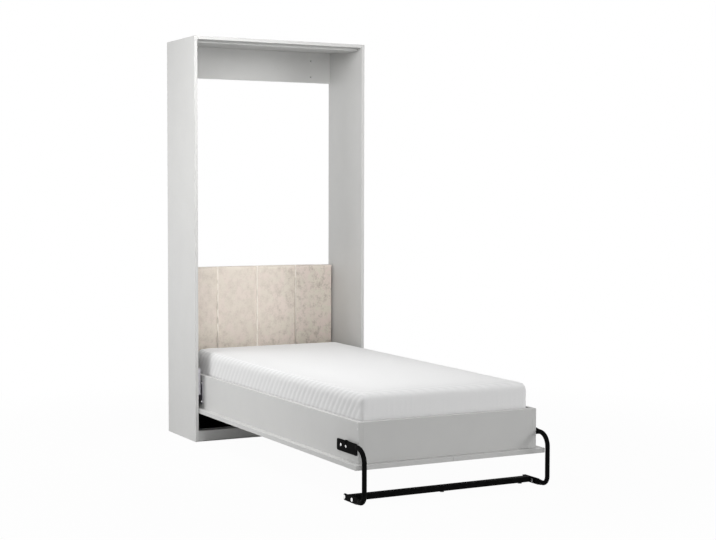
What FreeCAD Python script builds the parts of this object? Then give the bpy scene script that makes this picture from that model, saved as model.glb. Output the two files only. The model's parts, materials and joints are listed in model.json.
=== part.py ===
import FreeCAD, Part
import math
import os

# Wall bed with an upright open cabinet, a bed that swings down out of it and a folding foot leg.
# Millimetres, +Z up, the bed points to -Y. Shapes are drawn with y = 0 at the cabinet's front edge
# and moved at export, so that the origin lies on the floor under the middle of the whole object.

V = FreeCAD.Vector

# Cabinet
cabinet_width = 1050.0
cabinet_height = 2232.0
cabinet_depth = 428.0
panel_thickness = 18.0
edge_ease = 0.8
stop_setback = 56.0
stop_depth = 134.0
stop_thickness = 14.0
rail_height = 179.0
lower_back_height = 445.0
plinth_height = 56.0
plinth_setback = 22.0

# Wall fixing holes in the upper back rail
wall_hole_radius = 4.0
wall_hole_side_margin = 130.0
wall_hole_spacing_z = 96.0
wall_hole_top_margin = 50.0

# Headboard
headboard_side_gap = 8.0
headboard_bottom = 430.0
headboard_top = 950.0
headboard_wall_gap = 26.0
headboard_pad_depth = 35.0
headboard_backing_thickness = 16.0
headboard_columns = 4
headboard_column_crown = 7.0
headboard_edge_round = 6.0
headboard_backing_inset = 6.0
headboard_bracket_length = 60.0
headboard_bracket_height = 60.0
headboard_bracket_thickness = 3.0
headboard_bracket_depth = 24.0
headboard_bracket_inset = 70.0

# Bed box
front_panel_thickness = 22.0
front_panel_gap = 4.0
front_panel_seam = 1.0
front_panel_overhang = 30.0
bed_underside = 158.0
bed_head_reach = 262.0
box_foot = 1833.0
box_head_reach = 213.0
box_side_gap = 34.0
box_board = 22.0
box_height = 186.0
head_board_thickness = 18.0
head_board_height = 150.0
joining_batten_half_width = 40.0
joining_batten_thickness = 18.0

# Slatted base
slat_rail_width = 18.0
slat_rail_height = 26.0
slat_thickness = 12.0
slat_width = 70.0
slat_count = 13
slat_end_gap = 6.0
slat_margin = 60.0
slat_top_above_panel = 102.0
slat_holder_wall = 2.5
slat_holder_length = 40.0

# Mattress
mattress_side_gap = 2.0
mattress_foot_gap = 5.0
mattress_head_gap = 3.0
mattress_edge_height = 200.0
mattress_crown = 12.0
mattress_head_rise = 12.0
mattress_edge_round = 24.0
mattress_corner_round = 24.0
mattress_draw_in = 3.0
mattress_end_crown_share = 0.1
mattress_round_steps = 4
mattress_body_steps = 6

# Bed pivot and lift mechanism, with rises from the top of the front panel or from the pivot
pivot_setback = 94.5
pivot_rise = 72.5
pivot_pin_radius = 8.0
pivot_running_clearance = 0.05
pivot_bush_radius = 10.0
bracket_thickness = 4.0
bracket_boss_radius = 16.0
bracket_boss_length = 5.0
bracket_front = 20.0
bracket_back = 196.0
bracket_rise = 24.0
bracket_height = 132.0
bracket_corner = 12.0
mech_plate_thickness = 3.0
mech_plate_front = 30.0
mech_plate_back = 182.0
mech_plate_drop = 52.5
mech_plate_height = 250.0
mech_plate_corner = 12.0
mech_flange_width = 23.0
mech_flange_rise = 58.0
mech_flange_height = 147.0
mech_flange_round = 6.0
strut_anchor_back = 55.5
strut_anchor_rise = 180.0
strut_stud_radius = 5.0
strut_bed_y = 60.0
strut_bed_z = 25.0
strut_cylinder_radius = 9.0
strut_cylinder_start = 14.0
strut_cylinder_length = 112.0
strut_bore_clearance = 0.05
strut_bore_wall = 4.0
strut_rod_radius = 4.0
strut_rod_inside = 98.0
strut_eye_radius = 9.0
strut_eye_thickness = 8.4
strut_free_gap = 0.5
screw_head_radius = 5.0
screw_head_height = 2.2
bracket_screw_inset = 14.0

# Folding foot leg, with insets and reaches from the foot end of the box
leg_pivot_inset = 101.0
leg_pivot_rise = 84.0
leg_tube_rise = 76.0
leg_tube_radius = 11.0
leg_run_reach = 77.0
leg_upper_bend = 62.0
leg_lower_bend = 38.0
leg_bend_margin = 1.0
leg_press_length = 24.0
leg_lower_z = 17.0
leg_flat_thickness = 5.0
leg_flat_height = 30.0
leg_lower_flat_height = 30.0
leg_nose_radius = 11.0
leg_taper_length = 34.0
leg_press_share = 0.96
leg_lower_inset = 116.0
leg_side_gap = 1.0
leg_plate_thickness = 4.0
leg_plate_inset = 11.0
leg_plate_length = 194.0
leg_plate_rise = 35.0
leg_plate_height = 53.0
leg_plate_corner = 9.0
leg_screw_pitch = 50.0
leg_screw_inset = 41.0
leg_screw_rise = 28.0
leg_screw_radius = 6.5
leg_bolt_radius = 5.0
leg_bolt_clearance = 0.05
leg_bolt_shoulder_radius = 10.0
leg_bolt_head_radius = 9.0
leg_bolt_head_height = 4.0
crossbar_inset = 72.0
crossbar_depth = 40.0
crossbar_height = 25.0
crossbar_wall = 2.0
crossbar_round = 3.0
end_plate_length = 92.0
end_plate_height = 26.0
crossbar_bolt_half_pitch = 36.0
crossbar_bolt_radius = 3.2
crossbar_bolt_head_radius = 9.0
crossbar_nut_radius = 8.0
crossbar_nut_height = 5.0
pad_radius = 10.0
pad_height = 6.0
pad_end_inset = 47.0

# Joint covers on the box sides
cover_radius = 6.0
cover_height = 0.5
cover_edge_inset = 31.0

# Cutting tools run past the material by this much
overrun = 2.0

# Derived places
half_width = cabinet_width / 2
inner_half = half_width - panel_thickness
top_underside = cabinet_height - panel_thickness
back_front_face = cabinet_depth - panel_thickness
wall_hole_half_spacing = inner_half - wall_hole_side_margin
headboard_half_width = inner_half - headboard_side_gap
headboard_backing_back = cabinet_depth - headboard_wall_gap
headboard_back = headboard_backing_back - headboard_backing_thickness
headboard_front = headboard_back - headboard_pad_depth
front_panel_top = bed_underside + front_panel_thickness
front_panel_half = inner_half - front_panel_gap
front_panel_foot = box_foot + front_panel_overhang
box_half_width = inner_half - box_side_gap
box_inner_half = box_half_width - box_board
box_top = front_panel_top + box_height
foot_inner = box_foot - box_board
head_inner = box_head_reach - head_board_thickness
slat_top = front_panel_top + slat_top_above_panel
slat_bottom = slat_top - slat_thickness
rail_top = slat_bottom
rail_bottom = rail_top - slat_rail_height
mattress_half_width = box_inner_half - mattress_side_gap
mattress_foot = -foot_inner + mattress_foot_gap
mattress_head = head_inner - mattress_head_gap
pivot_height = front_panel_top + pivot_rise
bracket_bottom = front_panel_top + bracket_rise
bracket_top = bracket_bottom + bracket_height
mech_plate_bottom = pivot_height - mech_plate_drop
mech_plate_top = mech_plate_bottom + mech_plate_height
mech_flange_bottom = mech_plate_bottom + mech_flange_rise
mech_flange_top = mech_flange_bottom + mech_flange_height
leg_pivot_y = box_foot - leg_pivot_inset
leg_pivot_z = front_panel_top + leg_pivot_rise
leg_tube_z = front_panel_top + leg_tube_rise
leg_run_y = box_foot + leg_run_reach
leg_round_start = leg_run_y - leg_upper_bend - leg_bend_margin
leg_flat_start = leg_round_start - leg_press_length
leg_lower_round_start = leg_run_y - leg_lower_bend - leg_bend_margin
leg_lower_flat_start = leg_lower_round_start - leg_press_length
leg_lower_end = box_foot - leg_lower_inset
leg_outer_reach = leg_run_y + leg_tube_radius
leg_center_x = box_half_width + leg_side_gap + leg_tube_radius
leg_flat_inner_x = leg_center_x - leg_flat_thickness / 2
leg_flat_outer_x = leg_center_x + leg_flat_thickness / 2
leg_plate_foot = box_foot - leg_plate_inset
leg_plate_back = leg_plate_foot - leg_plate_length
leg_plate_bottom = front_panel_top + leg_plate_rise
leg_plate_top = leg_plate_bottom + leg_plate_height
crossbar_y = box_foot - crossbar_inset
crossbar_half = leg_flat_inner_x - bracket_thickness
y_shift = (leg_outer_reach - cabinet_depth) / 2


def block(x0, x1, y0, y1, z0, z1):
    """A plain box between two corners."""
    return Part.makeBox(x1 - x0, y1 - y0, z1 - z0, V(x0, y0, z0))


def board(x0, x1, y0, y1, z0, z1):
    """A furniture board with slightly eased edges."""
    solid = block(x0, x1, y0, y1, z0, z1)
    return solid.makeChamfer(edge_ease, solid.Edges)


def bar_x(radius, x0, x1, y, z):
    """A round bar along X."""
    return Part.makeCylinder(radius, x1 - x0, V(x0, y, z), V(1, 0, 0))


def bar_y(radius, x, y0, y1, z):
    """A round bar along Y."""
    return Part.makeCylinder(radius, y1 - y0, V(x, y0, z), V(0, 1, 0))


def edges_along(solid, axis):
    """Straight edges that run along one axis."""
    found = []
    for edge in solid.Edges:
        run = edge.Vertexes[-1].Point.sub(edge.Vertexes[0].Point)
        if run.Length > 0 and abs(run.dot(axis)) > run.Length * math.cos(math.radians(1)):
            found.append(edge)
    return found


def plate_x(x0, x1, y0, y1, z0, z1, corner):
    """A steel plate across X with round corners."""
    solid = block(x0, x1, y0, y1, z0, z1)
    return solid.makeFillet(corner, edges_along(solid, V(1, 0, 0)))


def mirrored(shape):
    """The same piece on the left-hand side."""
    return shape.mirror(V(0, 0, 0), V(1, 0, 0))


def export(name, shape):
    """Move a node to the object's origin and write it."""
    placed = shape.copy()
    placed.translate(V(0, y_shift, 0))
    placed.exportStep("parts/" + name + ".step")


def export_pair(name, right_shape):
    """Write a right-hand piece and its left-hand mirror image."""
    export(name + "_right", right_shape)
    export(name + "_left", mirrored(right_shape))


def export_group(name, right_shapes):
    """Write right-hand pieces and their mirror images as one node."""
    solids = list(right_shapes)
    for shape in right_shapes:
        solids.append(mirrored(shape))
    export(name, Part.makeCompound(solids))


def make_cabinet():
    """Side panels, top, stop rail, back rails and plinth."""
    export_pair("side_panel", board(inner_half, half_width, 0, cabinet_depth, 0, cabinet_height))
    export("top_panel", board(-inner_half, inner_half, 0, cabinet_depth, top_underside, cabinet_height))
    export("top_stop_rail", board(-inner_half, inner_half, stop_setback, stop_setback + stop_depth,
                                  top_underside - stop_thickness, top_underside))
    rail = board(-inner_half, inner_half, back_front_face, cabinet_depth,
                 top_underside - rail_height, top_underside)
    upper_hole_z = top_underside - wall_hole_top_margin
    for side in (-1, 1):
        for z in (upper_hole_z, upper_hole_z - wall_hole_spacing_z):
            hole = bar_y(wall_hole_radius, side * wall_hole_half_spacing,
                         back_front_face - overrun, cabinet_depth + overrun, z)
            rail = rail.cut(hole)
    export("upper_back_rail", rail)
    export("lower_back_panel", board(-inner_half, inner_half, back_front_face, cabinet_depth,
                                     0, lower_back_height))
    export("plinth_board", board(-inner_half, inner_half, plinth_setback,
                                 plinth_setback + panel_thickness, 0, plinth_height))


def pad_outline():
    """Plan outline of the headboard pad: flat back, one bulge for each sewn column."""
    back = headboard_back
    valley = headboard_front + headboard_column_crown
    column = 2 * headboard_half_width / headboard_columns
    edges = []
    left = -headboard_half_width
    for number in range(headboard_columns):
        start = V(left + number * column, valley, 0)
        middle = V(left + (number + 1 / 2) * column, headboard_front, 0)
        end = V(left + (number + 1) * column, valley, 0)
        edges.append(Part.Arc(start, middle, end).toShape())
    edges.append(Part.LineSegment(V(-left, valley, 0), V(-left, back, 0)).toShape())
    edges.append(Part.LineSegment(V(-left, back, 0), V(left, back, 0)).toShape())
    edges.append(Part.LineSegment(V(left, back, 0), V(left, valley, 0)).toShape())
    return Part.Face(Part.Wire(edges))


def make_headboard():
    """Upholstered pad, its backing board and the steel brackets that hold it."""
    height = headboard_top - headboard_bottom
    pad = pad_outline().extrude(V(0, 0, height))
    pad.translate(V(0, 0, headboard_bottom))
    back = headboard_back
    rounded = block(-headboard_half_width, headboard_half_width, headboard_front,
                    back + headboard_edge_round, headboard_bottom, headboard_top)
    front_edges = []
    for edge in edges_along(rounded, V(1, 0, 0)) + edges_along(rounded, V(0, 0, 1)):
        if edge.CenterOfMass.y < back:
            front_edges.append(edge)
    rounded = rounded.makeFillet(headboard_edge_round, front_edges)
    export("headboard_pad", pad.common(rounded))
    backing_half = headboard_half_width - headboard_backing_inset
    backing_back = headboard_backing_back
    export("headboard_backing", board(-backing_half, backing_half, back, backing_back,
                                      headboard_bottom + headboard_backing_inset,
                                      headboard_top - headboard_backing_inset))
    brackets = []
    low = headboard_bottom + headboard_bracket_inset
    high = headboard_top - headboard_bracket_inset - headboard_bracket_height
    for z in (low, high):
        behind = block(inner_half - headboard_bracket_length, inner_half, backing_back,
                       backing_back + headboard_bracket_thickness, z, z + headboard_bracket_height)
        beside = block(inner_half - headboard_bracket_thickness, inner_half, backing_back,
                       backing_back + headboard_bracket_depth, z, z + headboard_bracket_height)
        brackets.append(behind.fuse(beside).removeSplitter())
    export_pair("headboard_bracket", Part.makeCompound(brackets))


def make_bed_box():
    """Front panel halves, box boards and the joining batten."""
    seam = front_panel_seam / 2
    export_pair("front_panel", board(seam, front_panel_half, -front_panel_foot, bed_head_reach,
                                     bed_underside, front_panel_top))
    export_pair("bed_side", board(box_inner_half, box_half_width, -box_foot, box_head_reach,
                                  front_panel_top, box_top))
    export("bed_foot_board", board(-box_inner_half, box_inner_half, -box_foot, -foot_inner,
                                   front_panel_top, box_top))
    export("bed_head_board", board(-box_inner_half, box_inner_half, head_inner, box_head_reach,
                                   front_panel_top, front_panel_top + head_board_height))
    export("joining_batten", board(-joining_batten_half_width, joining_batten_half_width,
                                   -foot_inner, head_inner, front_panel_top,
                                   front_panel_top + joining_batten_thickness))


def make_slatted_base():
    """Side rails, slats and the plastic holders at the slats' ends."""
    export_pair("slat_rail", board(box_inner_half - slat_rail_width, box_inner_half, -foot_inner,
                                   head_inner, rail_bottom, rail_top))
    slat_half = box_inner_half - slat_end_gap
    first = -foot_inner + slat_margin
    pitch = (head_inner + foot_inner - 2 * slat_margin) / (slat_count - 1)
    slats = []
    holders = []
    for number in range(slat_count):
        y = first + number * pitch
        slats.append(board(-slat_half, slat_half, y - slat_width / 2, y + slat_width / 2,
                           slat_bottom, slat_top))
        for edge_y in (y - slat_width / 2 - slat_holder_wall, y + slat_width / 2):
            holders.append(block(slat_half - slat_holder_length, slat_half, edge_y,
                                 edge_y + slat_holder_wall, slat_bottom, slat_top))
    export("slats", Part.makeCompound(slats))
    export_group("slat_holders", holders)


def mattress_section(y, inset, draw, crown_share):
    """One cross-section of the mattress: crowned top, rounded edges."""
    half = mattress_half_width - draw - inset
    bottom = slat_top + inset
    along = (y - mattress_foot) / (mattress_head - mattress_foot)
    shoulder = slat_top + mattress_edge_height + mattress_head_rise * along - inset
    crown = shoulder + mattress_crown * crown_share
    round_edge = mattress_edge_round
    slant = round_edge * (1 - math.sqrt(1 / 2))
    left_low = V(-half, y, bottom + round_edge)
    left_high = V(-half, y, shoulder - round_edge)
    top_left = V(-half + round_edge, y, shoulder)
    top_right = V(half - round_edge, y, shoulder)
    right_high = V(half, y, shoulder - round_edge)
    right_low = V(half, y, bottom + round_edge)
    low_right = V(half - round_edge, y, bottom)
    low_left = V(-half + round_edge, y, bottom)
    edges = [
        Part.LineSegment(left_low, left_high).toShape(),
        Part.Arc(left_high, V(-half + slant, y, shoulder - slant), top_left).toShape(),
        Part.Arc(top_left, V(0, y, crown), top_right).toShape(),
        Part.Arc(top_right, V(half - slant, y, shoulder - slant), right_high).toShape(),
        Part.LineSegment(right_high, right_low).toShape(),
        Part.Arc(right_low, V(half - slant, y, bottom + slant), low_right).toShape(),
        Part.LineSegment(low_right, low_left).toShape(),
        Part.Arc(low_left, V(-half + slant, y, bottom + slant), left_low).toShape(),
    ]
    return Part.Wire(edges)


def make_mattress():
    """Mattress with a crowned top that rises to the head, rounded ends and sides drawn in."""
    foot = mattress_foot
    head = mattress_head
    stations = []
    for step in range(mattress_round_steps + 1):
        angle = math.pi / 2 * step / mattress_round_steps
        inset = mattress_corner_round * (1 - math.sin(angle)) / 2
        stations.append((mattress_corner_round * (1 - math.cos(angle)), inset))
    wires = []
    for depth, inset in stations:
        wires.append(mattress_section(foot + depth, inset, 0, mattress_end_crown_share))
    body = head - foot - 2 * mattress_corner_round
    for step in range(1, mattress_body_steps):
        along = step / mattress_body_steps
        swell_share = math.sin(math.pi * along)
        crown_share = mattress_end_crown_share + (1 - mattress_end_crown_share) * swell_share
        y = foot + mattress_corner_round + along * body
        wires.append(mattress_section(y, 0, mattress_draw_in * swell_share, crown_share))
    for depth, inset in reversed(stations):
        wires.append(mattress_section(head - depth, inset, 0, mattress_end_crown_share))
    export("mattress", Part.makeLoft(wires, True, True))


def strut_points():
    """Cabinet anchor and bed anchor of the gas strut with the bed down."""
    anchor = V(0, pivot_setback + strut_anchor_back, pivot_height + strut_anchor_rise)
    bed_end = V(0, pivot_setback + strut_bed_y, pivot_height + strut_bed_z)
    return anchor, bed_end


def make_lift():
    """Pivot pins, bushes, steel plates and gas struts of both sides."""
    anchor, bed_end = strut_points()
    plate_inner = inner_half - mech_plate_thickness
    bracket_outer = box_half_width + bracket_thickness
    strut_x = (plate_inner + bracket_outer) / 2
    eye_inner = strut_x - strut_eye_thickness / 2
    eye_outer = strut_x + strut_eye_thickness / 2

    plate = plate_x(plate_inner, inner_half, mech_plate_front, mech_plate_back,
                    mech_plate_bottom, mech_plate_top, mech_plate_corner)
    flange = block(inner_half - mech_flange_width, inner_half, mech_plate_front,
                   mech_plate_front + mech_plate_thickness, mech_flange_bottom, mech_flange_top)
    inner_edges = []
    for edge in edges_along(flange, V(0, 1, 0)):
        if edge.CenterOfMass.x < plate_inner:
            inner_edges.append(edge)
    flange = flange.makeFillet(mech_flange_round, inner_edges)
    plate = plate.fuse(flange)
    pin_hole = bar_x(pivot_pin_radius, plate_inner - overrun, inner_half + overrun,
                     pivot_setback, pivot_height)
    stud_hole = bar_x(strut_stud_radius, plate_inner - overrun, inner_half + overrun, anchor.y, anchor.z)
    plate = plate.cut(pin_hole).cut(stud_hole).removeSplitter()
    export_pair("lift_plate", plate)

    pin_end = box_half_width + overrun
    export_pair("pivot_pin", bar_x(pivot_pin_radius, pin_end, inner_half, pivot_setback, pivot_height))
    export_pair("strut_anchor_stud", bar_x(strut_stud_radius, eye_inner, inner_half, anchor.y, anchor.z))

    bracket = plate_x(box_half_width, bracket_outer, bracket_front, bracket_back,
                      bracket_bottom, bracket_top, bracket_corner)
    boss = bar_x(bracket_boss_radius, box_half_width, bracket_outer + bracket_boss_length,
                 pivot_setback, pivot_height)
    bush_seat = bar_x(pivot_bush_radius, box_half_width - overrun,
                      bracket_outer + bracket_boss_length + overrun, pivot_setback, pivot_height)
    bracket = bracket.fuse(boss).cut(bush_seat)
    stud_seat = bar_x(strut_stud_radius, box_half_width - overrun, bracket_outer + overrun,
                      bed_end.y, bed_end.z)
    export_pair("bed_bracket", bracket.cut(stud_seat).removeSplitter())
    bush = bar_x(pivot_bush_radius, box_half_width, bracket_outer + bracket_boss_length,
                 pivot_setback, pivot_height)
    bush_bore = bar_x(pivot_pin_radius + pivot_running_clearance, box_half_width - overrun,
                      bracket_outer + bracket_boss_length + overrun, pivot_setback, pivot_height)
    export_pair("pivot_bush", bush.cut(bush_bore))
    export_pair("strut_bed_stud", bar_x(strut_stud_radius, box_half_width, eye_inner - strut_free_gap,
                                        bed_end.y, bed_end.z))

    axis = bed_end.sub(anchor)
    span = axis.Length
    axis.normalize()
    here = V(strut_x, anchor.y, anchor.z)
    start = here.add(V(axis).multiply(strut_cylinder_start))
    tube = Part.makeCylinder(strut_cylinder_radius, strut_cylinder_length, start, axis)
    eye = bar_x(strut_eye_radius, eye_inner, eye_outer, anchor.y, anchor.z)
    neck = Part.makeCylinder(strut_rod_radius, strut_cylinder_start, here, axis)
    bore_start = start.add(V(axis).multiply(strut_bore_wall))
    bore = Part.makeCylinder(strut_rod_radius + strut_bore_clearance,
                             strut_cylinder_length, bore_start, axis)
    eye_hole = bar_x(strut_stud_radius + strut_bore_clearance, eye_inner - overrun, eye_outer + overrun,
                     anchor.y, anchor.z)
    cylinder = tube.fuse(neck).fuse(eye).cut(bore).cut(eye_hole).removeSplitter()
    export_pair("strut_cylinder", cylinder)

    rod_out = strut_cylinder_start + strut_cylinder_length
    rod_start = here.add(V(axis).multiply(rod_out - strut_rod_inside))
    rod = Part.makeCylinder(strut_rod_radius, span - rod_out + strut_rod_inside, rod_start, axis)
    rod_eye = bar_x(strut_eye_radius, eye_inner, eye_outer, bed_end.y, bed_end.z)
    export_pair("strut_rod", rod.fuse(rod_eye).removeSplitter())

    plate_screws = []
    for y in (mech_plate_front + bracket_screw_inset, mech_plate_back - bracket_screw_inset):
        for z in (mech_plate_bottom + bracket_screw_inset, mech_plate_top - bracket_screw_inset):
            plate_screws.append(bar_x(screw_head_radius, plate_inner - screw_head_height,
                                      plate_inner, y, z))
    export_group("lift_plate_screws", plate_screws)
    bracket_screws = []
    for y in (bracket_front + bracket_screw_inset, bracket_back - bracket_screw_inset):
        for z in (bracket_bottom + bracket_screw_inset, bracket_top - bracket_screw_inset):
            bracket_screws.append(bar_x(screw_head_radius, bracket_outer,
                                        bracket_outer + screw_head_height, y, z))
    export_group("bed_bracket_screws", bracket_screws)


def make_joint_covers():
    """Small round covers over the screws that join the box boards."""
    covers = []
    foot_y = -(box_foot - box_board / 2)
    head_y = box_head_reach - head_board_thickness / 2
    for y in (foot_y, head_y):
        for z in (front_panel_top + cover_edge_inset, box_top - cover_edge_inset):
            covers.append(bar_x(cover_radius, box_half_width, box_half_width + cover_height, y, z))
    export_group("joint_covers", covers)


def oval(x, y, z, half_z, half_x):
    """A closed oval across Y, taller than wide."""
    centre = V(x, y, z)
    curve = Part.Ellipse(V(x, y, z + half_z), V(x + half_x, y, z), centre)
    return Part.Wire([curve.toShape()])


def leg_tube():
    """Bent round tube of the right-hand leg with both ends pressed flat."""
    x = leg_center_x
    upper_z = leg_tube_z
    lower_z = leg_lower_z
    run = -leg_run_y
    slant = math.sqrt(1 / 2)
    upper_start = V(x, -leg_round_start, upper_z)
    upper_bend_start = V(x, run + leg_upper_bend, upper_z)
    upper_bend_mid = V(x, run + leg_upper_bend * (1 - slant), upper_z - leg_upper_bend * (1 - slant))
    upper_bend_end = V(x, run, upper_z - leg_upper_bend)
    lower_bend_start = V(x, run, lower_z + leg_lower_bend)
    lower_bend_mid = V(x, run + leg_lower_bend * (1 - slant), lower_z + leg_lower_bend * (1 - slant))
    lower_bend_end = V(x, run + leg_lower_bend, lower_z)
    lower_start = V(x, -leg_lower_round_start, lower_z)
    path = Part.Wire([
        Part.LineSegment(upper_start, upper_bend_start).toShape(),
        Part.Arc(upper_bend_start, upper_bend_mid, upper_bend_end).toShape(),
        Part.LineSegment(upper_bend_end, lower_bend_start).toShape(),
        Part.Arc(lower_bend_start, lower_bend_mid, lower_bend_end).toShape(),
        Part.LineSegment(lower_bend_end, lower_start).toShape(),
    ])
    ring = Part.Wire([Part.Circle(upper_start, V(0, 1, 0), leg_tube_radius).toShape()])
    solid = path.makePipeShell([ring], True, False)
    half_flat = leg_flat_height / 2
    half_lower_flat = leg_lower_flat_height / 2
    half_thick = leg_flat_thickness / 2
    for start, flat, half_height in ((upper_start, leg_flat_start, half_flat),
                                     (lower_start, leg_lower_flat_start, half_lower_flat)):
        circle = Part.Circle(start, V(0, 1, 0), leg_tube_radius)
        round_end = Part.Wire([circle.toShape()])
        flat_end = oval(x, -flat, start.z, half_height * leg_press_share, half_thick * leg_press_share)
        solid = solid.fuse(Part.makeLoft([round_end, flat_end], True, True))
    taper_y = -leg_pivot_y - leg_taper_length
    upper_flat = block(leg_flat_inner_x, leg_flat_outer_x, -leg_flat_start, taper_y,
                       upper_z - half_flat, upper_z + half_flat)
    upper_nose = bar_x(leg_nose_radius, leg_flat_inner_x, leg_flat_outer_x, -leg_pivot_y, leg_pivot_z)
    corners = [
        V(leg_flat_inner_x, taper_y, upper_z - half_flat),
        V(leg_flat_inner_x, -leg_pivot_y, leg_pivot_z - leg_nose_radius),
        V(leg_flat_inner_x, -leg_pivot_y, leg_pivot_z + leg_nose_radius),
        V(leg_flat_inner_x, taper_y, upper_z + half_flat),
    ]
    taper = Part.Face(Part.makePolygon(corners + corners[:1])).extrude(V(leg_flat_thickness, 0, 0))
    lower_flat = plate_x(leg_flat_inner_x, leg_flat_outer_x, -leg_lower_flat_start, -leg_lower_end,
                         lower_z - half_lower_flat, lower_z + half_lower_flat, leg_plate_corner)
    solid = solid.fuse(upper_flat).fuse(taper).fuse(upper_nose).fuse(lower_flat)
    bolt_hole = bar_x(leg_bolt_radius + leg_bolt_clearance, leg_flat_inner_x - overrun,
                      leg_flat_outer_x + overrun, -leg_pivot_y, leg_pivot_z)
    solid = solid.cut(bolt_hole)
    for pitch in (-crossbar_bolt_half_pitch, crossbar_bolt_half_pitch):
        hole = bar_x(crossbar_bolt_radius, leg_flat_inner_x - overrun, leg_flat_outer_x + overrun,
                     -crossbar_y + pitch, lower_z)
        solid = solid.cut(hole)
    return solid.removeSplitter()


def make_leg():
    """Leg plates and pivot bolts on the box, and the folding frame itself."""
    plate_outer = box_half_width + leg_plate_thickness
    plate = plate_x(box_half_width, plate_outer, -leg_plate_foot, -leg_plate_back,
                    leg_plate_bottom, leg_plate_top, leg_plate_corner)
    bolt_seat = bar_x(leg_bolt_radius, box_half_width - overrun, plate_outer + overrun,
                      -leg_pivot_y, leg_pivot_z)
    export_pair("leg_plate", plate.cut(bolt_seat))
    screws = []
    for number in range(2):
        y = -leg_plate_back - leg_screw_inset - number * leg_screw_pitch
        screws.append(bar_x(leg_screw_radius, plate_outer, plate_outer + screw_head_height, y,
                            leg_plate_bottom + leg_screw_rise))
    export_group("leg_plate_screws", screws)
    head_inner = leg_flat_outer_x + leg_bolt_clearance
    shank = bar_x(leg_bolt_radius, box_half_width, head_inner, -leg_pivot_y, leg_pivot_z)
    shoulder = bar_x(leg_bolt_shoulder_radius, plate_outer, leg_flat_inner_x - leg_bolt_clearance,
                     -leg_pivot_y, leg_pivot_z)
    head = bar_x(leg_bolt_head_radius, head_inner, head_inner + leg_bolt_head_height,
                 -leg_pivot_y, leg_pivot_z)
    export_pair("leg_pivot_bolt", shank.fuse(shoulder).fuse(head).removeSplitter())

    export_pair("leg_tube", leg_tube())
    front = -crossbar_y - crossbar_depth / 2
    back = -crossbar_y + crossbar_depth / 2
    tube = block(-crossbar_half, crossbar_half, front, back, pad_height, pad_height + crossbar_height)
    tube = tube.makeFillet(crossbar_round, edges_along(tube, V(1, 0, 0)))
    hollow = block(-crossbar_half - overrun, crossbar_half + overrun,
                   front + crossbar_wall, back - crossbar_wall,
                   pad_height + crossbar_wall, pad_height + crossbar_height - crossbar_wall)
    export("crossbar", tube.cut(hollow))
    end_plate = block(crossbar_half, leg_flat_inner_x, -crossbar_y - end_plate_length / 2,
                      -crossbar_y + end_plate_length / 2, leg_lower_z - end_plate_height / 2,
                      leg_lower_z + end_plate_height / 2)
    bolts = []
    for pitch in (-crossbar_bolt_half_pitch, crossbar_bolt_half_pitch):
        y = -crossbar_y + pitch
        end_plate = end_plate.cut(bar_x(crossbar_bolt_radius, crossbar_half - overrun,
                                        leg_flat_inner_x + overrun, y, leg_lower_z))
        nut_inner = crossbar_half - crossbar_nut_height
        shank = bar_x(crossbar_bolt_radius, nut_inner, leg_flat_outer_x, y, leg_lower_z)
        head = bar_x(crossbar_bolt_head_radius, leg_flat_outer_x, leg_flat_outer_x + screw_head_height,
                     y, leg_lower_z)
        nut = bar_x(crossbar_nut_radius, nut_inner, crossbar_half, y, leg_lower_z)
        bolts.append(shank.fuse(head).fuse(nut).removeSplitter())
    export_pair("crossbar_end_plate", end_plate)
    export_group("crossbar_bolts", bolts)
    pads = []
    for x in (-crossbar_half + pad_end_inset, 0, crossbar_half - pad_end_inset):
        pads.append(Part.makeCylinder(pad_radius, pad_height, V(x, -crossbar_y, 0)))
    export("floor_pads", Part.makeCompound(pads))


os.makedirs("parts", exist_ok=True)
make_cabinet()
make_headboard()
make_bed_box()
make_slatted_base()
make_mattress()
make_lift()
make_joint_covers()
make_leg()
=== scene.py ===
import json
import math

import bmesh
import bpy
import numpy as np
from mathutils import Matrix, Vector


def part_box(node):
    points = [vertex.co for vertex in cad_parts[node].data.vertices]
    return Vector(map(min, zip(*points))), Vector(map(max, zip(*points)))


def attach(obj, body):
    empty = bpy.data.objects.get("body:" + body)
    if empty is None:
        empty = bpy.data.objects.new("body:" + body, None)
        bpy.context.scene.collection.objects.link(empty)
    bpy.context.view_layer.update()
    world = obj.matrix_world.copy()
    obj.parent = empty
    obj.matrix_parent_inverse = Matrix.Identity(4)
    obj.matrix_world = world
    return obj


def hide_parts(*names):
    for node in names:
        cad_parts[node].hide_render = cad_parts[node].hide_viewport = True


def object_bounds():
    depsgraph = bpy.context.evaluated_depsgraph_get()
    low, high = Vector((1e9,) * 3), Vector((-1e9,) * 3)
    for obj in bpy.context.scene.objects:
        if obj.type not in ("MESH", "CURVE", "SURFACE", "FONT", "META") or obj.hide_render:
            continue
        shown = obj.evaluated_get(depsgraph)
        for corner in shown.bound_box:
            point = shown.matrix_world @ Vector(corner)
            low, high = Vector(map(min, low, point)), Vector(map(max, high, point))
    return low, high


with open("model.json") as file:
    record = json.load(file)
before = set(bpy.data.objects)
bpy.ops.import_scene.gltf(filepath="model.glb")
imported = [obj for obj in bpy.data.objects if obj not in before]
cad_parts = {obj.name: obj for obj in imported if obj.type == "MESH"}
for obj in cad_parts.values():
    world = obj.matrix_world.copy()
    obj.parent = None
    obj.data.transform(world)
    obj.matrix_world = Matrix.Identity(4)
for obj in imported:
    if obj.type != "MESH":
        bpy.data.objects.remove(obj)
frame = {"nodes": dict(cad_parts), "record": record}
cad_low, cad_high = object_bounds()

bl_info = {
    "name": "Wall bed looks",
    "version": (1, 0, 0),
    "blender": (4, 5, 0),
    "location": "View3D > Sidebar > Wall bed",
    "description": "Finishes, soft pieces, fasteners and studio for the folding wall bed",
    "category": "Object",
}

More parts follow.
